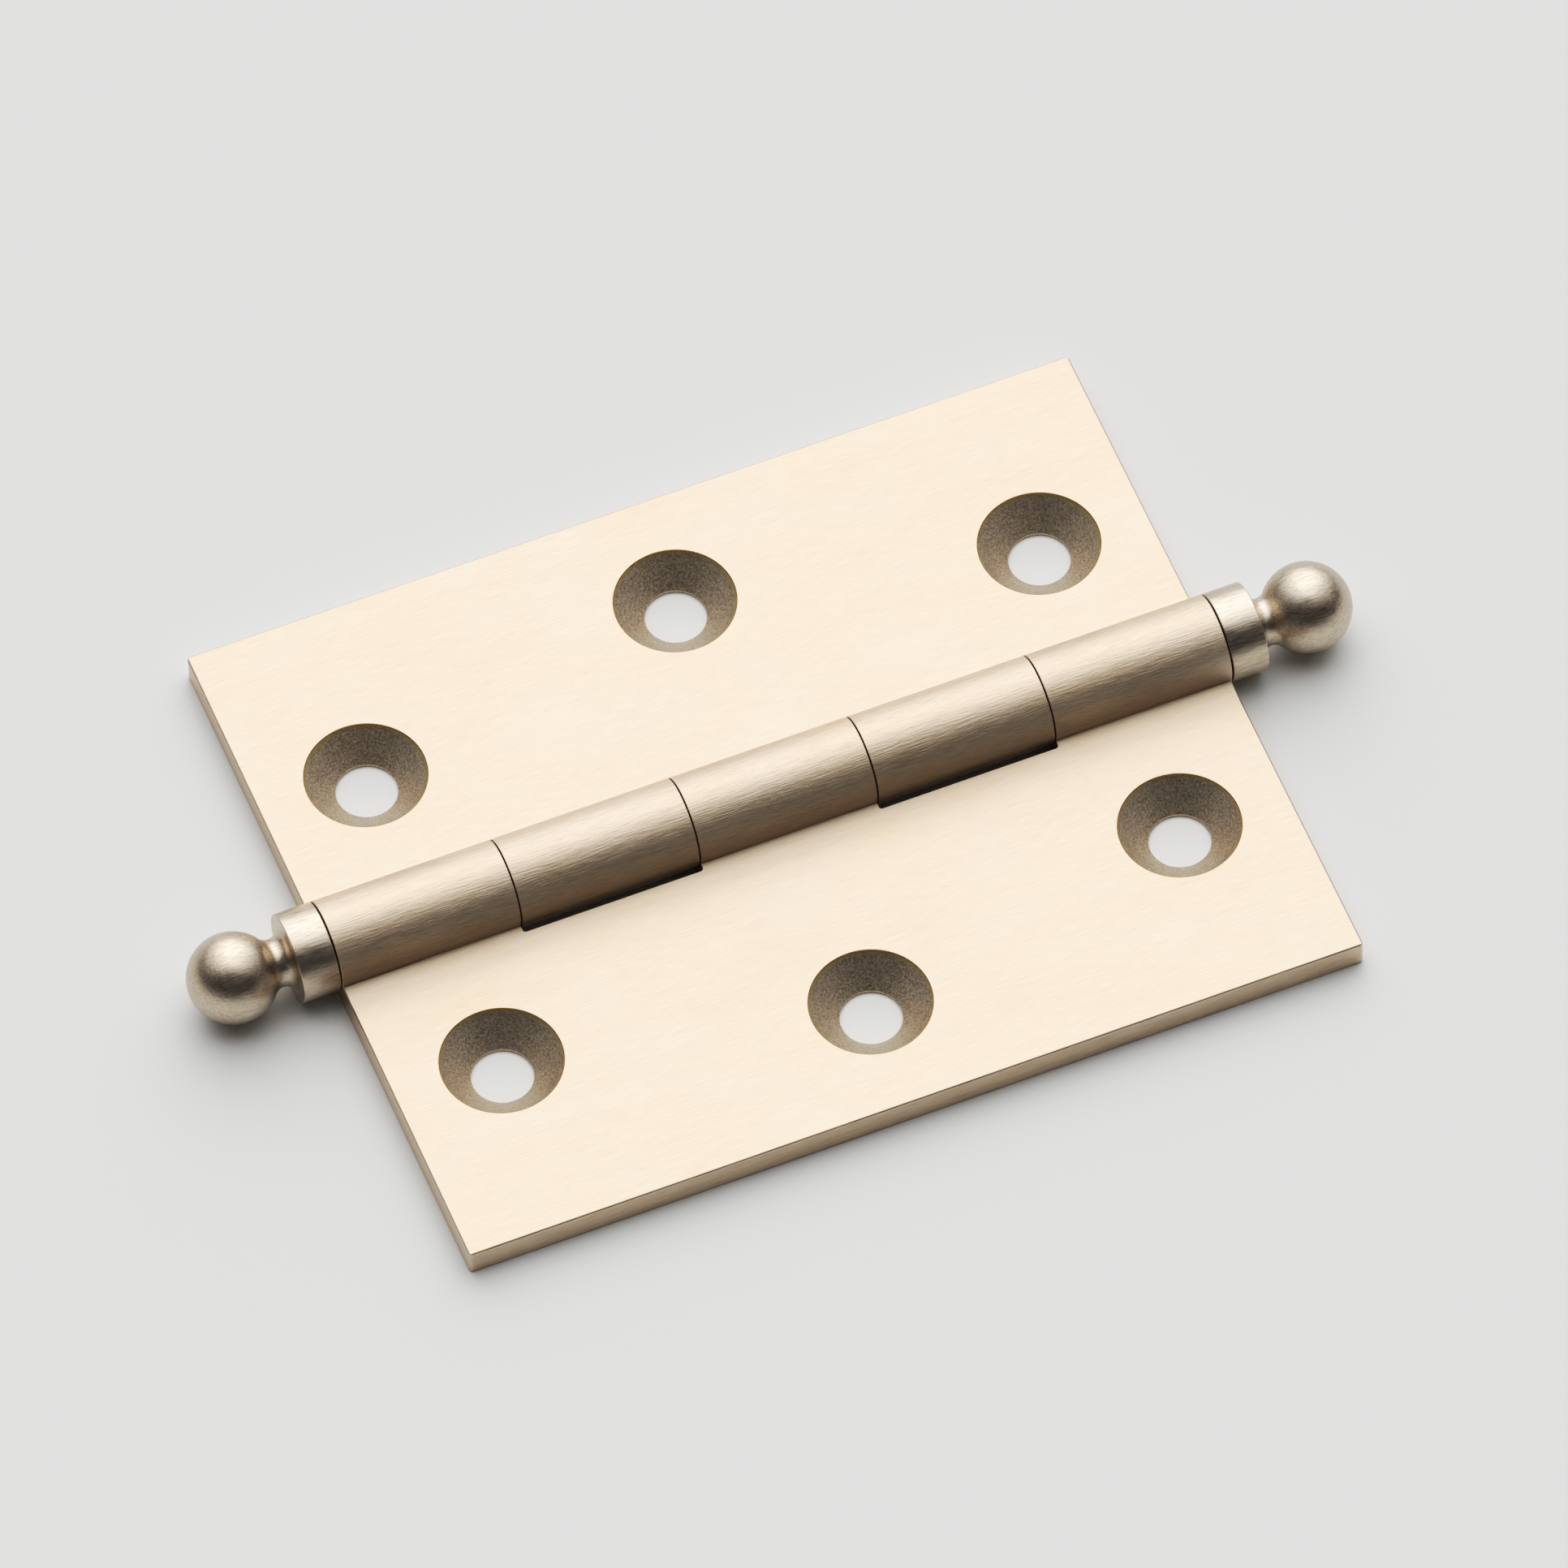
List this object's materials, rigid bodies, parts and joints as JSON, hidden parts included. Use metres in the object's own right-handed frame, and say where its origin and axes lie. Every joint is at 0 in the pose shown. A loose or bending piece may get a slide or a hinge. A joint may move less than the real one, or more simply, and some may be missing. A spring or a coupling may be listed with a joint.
{
  "type": "butt hinge",
  "caption": "Butt hinge with two countersunk leaves that turn on one pin, and a ball finial at each end of the barrel.",
  "frame": {"origin": "centre of the hinge on the plane of the leaves' backs, straight below the pin's axis", "axes": "+X along the pin, +Y from the pin towards the turning leaf, +Z out of the countersunk faces"},
  "size_m": [0.0828, 0.0516, 0.0062],
  "materials": {
    "leaf_nickel": "satin nickel plate, brushed along the pin",
    "finial_nickel": "satin nickel plate, turned and brushed",
    "pin_steel": "plain drawn steel"
  },
  "bodies": {
    "fixed_leaf": {"front_leaf": "leaf_nickel", "hinge_pin": "pin_steel", "left_finial": "finial_nickel", "right_finial": "finial_nickel"},
    "turning_leaf": {"back_leaf": "leaf_nickel"}
  },
  "joints": [
    {"name": "leaf_turn", "type": "hinge", "parent": "fixed_leaf", "child": "turning_leaf", "pos_m": [0, 0, 0.0031], "axis": [1, 0, 0], "range_deg": [-90, 180]}
  ]
}
